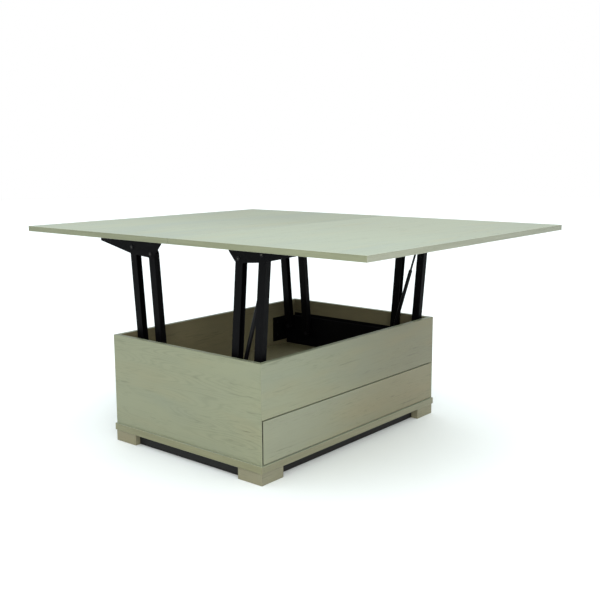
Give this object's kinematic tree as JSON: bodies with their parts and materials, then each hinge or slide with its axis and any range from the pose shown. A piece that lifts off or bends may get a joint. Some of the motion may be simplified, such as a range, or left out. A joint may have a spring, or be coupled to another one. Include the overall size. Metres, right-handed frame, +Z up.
{
  "type": "lift top coffee table",
  "caption": "Low storage case with one full-width drawer and a book-folding top carried on parallel-arm lift linkages with gas struts.",
  "frame": {"origin": "on the floor, below the middle of the opened top", "axes": "+X to the right along the drawer face, +Y from the drawer face to the back, +Z up"},
  "size_m": [1.1, 1.387, 0.702],
  "materials": {
    "case_laminate": "pale washed-oak laminate, fine grain, satin",
    "top_laminate": "pale washed-oak laminate, satin",
    "drawer_board": "pale melamine board, matt",
    "plinth_black": "black board, matt",
    "frame_black": "black powder coat, semi-gloss",
    "strut_black": "black lacquer, semi-gloss",
    "rod_steel": "black nitrided steel, smooth",
    "black_screw": "black oxide",
    "zinc_screw": "zinc plated",
    "zinc_pin": "zinc plated",
    "runner_zinc": "zinc plated sheet",
    "hinge_zinc": "nickel plated",
    "pad_rubber": "matt"
  },
  "bodies": {
    "case": {"base_board": "case_laminate", "foot_front_left": "case_laminate", "foot_front_right": "case_laminate", "foot_back_left": "case_laminate", "foot_back_right": "case_laminate", "foot_screws": "zinc_screw", "plinth_rail_front": "plinth_black", "plinth_rail_back": "plinth_black", "plinth_rail_left": "plinth_black", "plinth_rail_right": "plinth_black", "case_side_left": "case_laminate", "case_side_right": "case_laminate", "case_upper_front": "case_laminate", "case_back": "case_laminate", "compartment_floor": "case_laminate", "runner_fixed_left": "runner_zinc", "runner_fixed_right": "runner_zinc", "base_frame_left": "frame_black", "base_frame_right": "frame_black", "base_frame_screws": "black_screw", "lift_lower_pins": "zinc_pin", "support_lower_pins": "zinc_pin"},
    "drawer": {"drawer_front": "case_laminate", "drawer_side_left": "drawer_board", "drawer_side_right": "drawer_board", "drawer_back": "drawer_board", "drawer_bottom": "drawer_board", "runner_moving_left": "runner_zinc", "runner_moving_right": "runner_zinc"},
    "runner_middle_left": {"runner_middle_left": "runner_zinc"},
    "runner_middle_right": {"runner_middle_right": "runner_zinc"},
    "raised_top": {"lift_bracket_left": "frame_black", "lift_bracket_right": "frame_black", "lift_upper_pins": "zinc_pin", "leaf_front": "top_laminate", "leaf_hinge_plugs_front": "hinge_zinc", "leaf_screws": "zinc_screw"},
    "back_leaf": {"leaf_back": "top_laminate", "leaf_hinge_plugs_back": "hinge_zinc"},
    "support_carrier": {"support_bracket_left": "frame_black", "support_bracket_right": "frame_black", "support_crossbar": "frame_black", "support_pads": "pad_rubber", "support_upper_pins": "zinc_pin"},
    "lift_arm_inner_left": {"lift_arm_inner_left": "frame_black"},
    "support_arm_inner_left": {"support_arm_inner_left": "frame_black"},
    "lift_arm_outer_left": {"lift_arm_outer_left": "frame_black"},
    "support_arm_outer_left": {"support_arm_outer_left": "frame_black"},
    "lift_arm_inner_right": {"lift_arm_inner_right": "frame_black"},
    "support_arm_inner_right": {"support_arm_inner_right": "frame_black"},
    "lift_arm_outer_right": {"lift_arm_outer_right": "frame_black"},
    "support_arm_outer_right": {"support_arm_outer_right": "frame_black"},
    "strut_cylinder_left": {"strut_cylinder_left": "strut_black"},
    "strut_rod_left": {"strut_rod_left": "rod_steel"},
    "strut_cylinder_right": {"strut_cylinder_right": "strut_black"},
    "strut_rod_right": {"strut_rod_right": "rod_steel"}
  },
  "joints": [
    {"name": "lift", "type": "hinge", "parent": "case", "child": "lift_arm_inner_left", "pos_m": [0, -0.1295, 0.268], "axis": [-1, 0, 0], "range_deg": [0, 86.9]},
    {"name": "support_arm_inner_left_hinge", "type": "hinge", "parent": "case", "child": "support_arm_inner_left", "pos_m": [0, 0.2435, 0.246], "axis": [1, 0, 0], "range_deg": [0, 86.9]},
    {"name": "lift_arm_outer_left_hinge", "type": "hinge", "parent": "case", "child": "lift_arm_outer_left", "pos_m": [0, -0.2205, 0.285], "axis": [-1, 0, 0], "range_deg": [0, 86.9]},
    {"name": "support_arm_outer_left_hinge", "type": "hinge", "parent": "case", "child": "support_arm_outer_left", "pos_m": [0, 0.3345, 0.263], "axis": [1, 0, 0], "range_deg": [0, 86.9]},
    {"name": "lift_arm_inner_right_hinge", "type": "hinge", "parent": "case", "child": "lift_arm_inner_right", "pos_m": [0, -0.1295, 0.268], "axis": [-1, 0, 0], "range_deg": [0, 86.9]},
    {"name": "support_arm_inner_right_hinge", "type": "hinge", "parent": "case", "child": "support_arm_inner_right", "pos_m": [0, 0.2435, 0.246], "axis": [1, 0, 0], "range_deg": [0, 86.9]},
    {"name": "lift_arm_outer_right_hinge", "type": "hinge", "parent": "case", "child": "lift_arm_outer_right", "pos_m": [0, -0.2205, 0.285], "axis": [-1, 0, 0], "range_deg": [0, 86.9]},
    {"name": "support_arm_outer_right_hinge", "type": "hinge", "parent": "case", "child": "support_arm_outer_right", "pos_m": [0, 0.3345, 0.263], "axis": [1, 0, 0], "range_deg": [0, 86.9]},
    {"name": "top_level", "type": "hinge", "parent": "lift_arm_inner_left", "child": "raised_top", "pos_m": [0, -0.15908, 0.64384], "axis": [1, 0, 0], "range_deg": [0, 86.9]},
    {"name": "support_level", "type": "hinge", "parent": "support_arm_inner_left", "child": "support_carrier", "pos_m": [0, 0.27308, 0.62184], "axis": [-1, 0, 0], "range_deg": [0, 86.9]},
    {"name": "leaf_fold", "type": "hinge", "parent": "raised_top", "child": "back_leaf", "pos_m": [0, 0, 0.7025], "axis": [1, 0, 0], "range_deg": [0, 180]},
    {"name": "strut_swing_left", "type": "hinge", "parent": "case", "child": "strut_cylinder_left", "pos_m": [0, -0.1295, 0.268], "axis": [-1, 0, 0], "range_deg": [0, 93.86]},
    {"name": "strut_stroke_left", "type": "slide", "parent": "strut_cylinder_left", "child": "strut_rod_left", "axis": [0, -0.2934, 0.956], "range_m": [-0.1206, 0]},
    {"name": "strut_swing_right", "type": "hinge", "parent": "case", "child": "strut_cylinder_right", "pos_m": [0, -0.1295, 0.268], "axis": [-1, 0, 0], "range_deg": [0, 93.86]},
    {"name": "strut_stroke_right", "type": "slide", "parent": "strut_cylinder_right", "child": "strut_rod_right", "axis": [0, -0.2934, 0.956], "range_m": [-0.1206, 0]},
    {"name": "drawer_slide", "type": "slide", "parent": "case", "child": "drawer", "axis": [0, -1, 0], "range_m": [0, 0.4]},
    {"name": "runner_slide_left", "type": "slide", "parent": "case", "child": "runner_middle_left", "axis": [0, -1, 0], "range_m": [0, 0.2]},
    {"name": "runner_slide_right", "type": "slide", "parent": "case", "child": "runner_middle_right", "axis": [0, -1, 0], "range_m": [0, 0.2]}
  ],
  "couplings": [
    {"joint": "support_arm_inner_left_hinge", "follows": "lift", "ratio": 1},
    {"joint": "lift_arm_outer_left_hinge", "follows": "lift", "ratio": 1},
    {"joint": "support_arm_outer_left_hinge", "follows": "lift", "ratio": 1},
    {"joint": "lift_arm_inner_right_hinge", "follows": "lift", "ratio": 1},
    {"joint": "support_arm_inner_right_hinge", "follows": "lift", "ratio": 1},
    {"joint": "lift_arm_outer_right_hinge", "follows": "lift", "ratio": 1},
    {"joint": "support_arm_outer_right_hinge", "follows": "lift", "ratio": 1},
    {"joint": "top_level", "follows": "lift", "ratio": 1},
    {"joint": "support_level", "follows": "lift", "ratio": 1},
    {"joint": "strut_swing_left", "follows": "lift", "ratio": 1.0789},
    {"joint": "strut_stroke_left", "follows": "lift", "m_per_rad": -0.079409},
    {"joint": "strut_swing_right", "follows": "lift", "ratio": 1.0789},
    {"joint": "strut_stroke_right", "follows": "lift", "m_per_rad": -0.079409},
    {"joint": "runner_slide_left", "follows": "drawer_slide", "ratio": 0.5},
    {"joint": "runner_slide_right", "follows": "drawer_slide", "ratio": 0.5}
  ]
}
